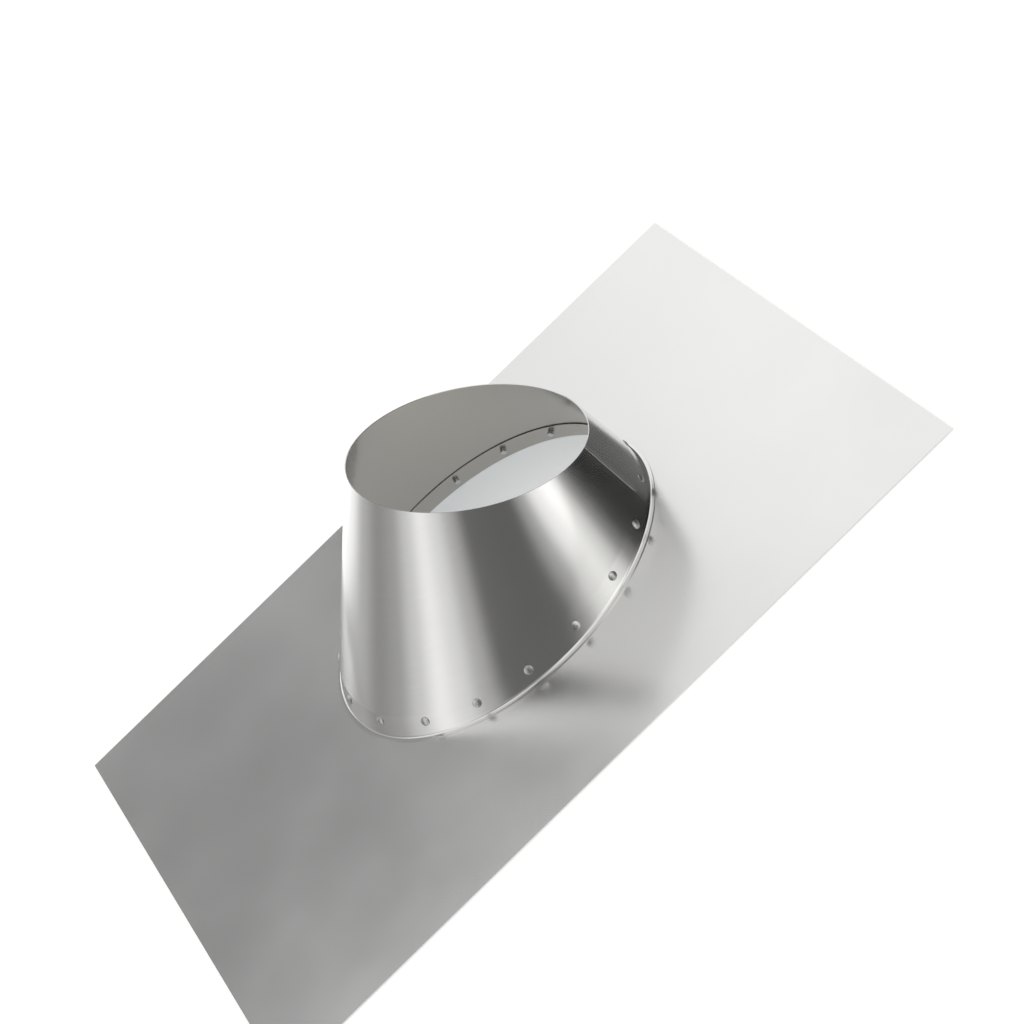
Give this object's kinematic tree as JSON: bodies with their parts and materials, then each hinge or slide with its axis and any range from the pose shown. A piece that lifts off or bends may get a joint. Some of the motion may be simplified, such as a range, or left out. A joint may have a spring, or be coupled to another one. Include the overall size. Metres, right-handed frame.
{
  "type": "roof flashing",
  "caption": "stainless steel roof flashing: flat base plate with a riveted oblique collar cone that rises to a round flue opening",
  "frame": {"origin": "centre of the base plate's flat underside", "axes": "+Z out of the roof, square to the base plate; +Y up the roof slope, along the plate's long side; +X across the roof, towards the lap seam's side"},
  "size_m": [0.5, 0.726, 0.1689],
  "materials": {
    "plate_steel": "satin rolled sheet with a fine grain along its length",
    "cone_steel": "bright satin sheet, rolled, with soft streaked reflections",
    "rivet_steel": "plain satin"
  },
  "bodies": {
    "root": {"base_plate": "plate_steel", "cone": "cone_steel", "rivets": "rivet_steel"}
  },
  "joints": []
}
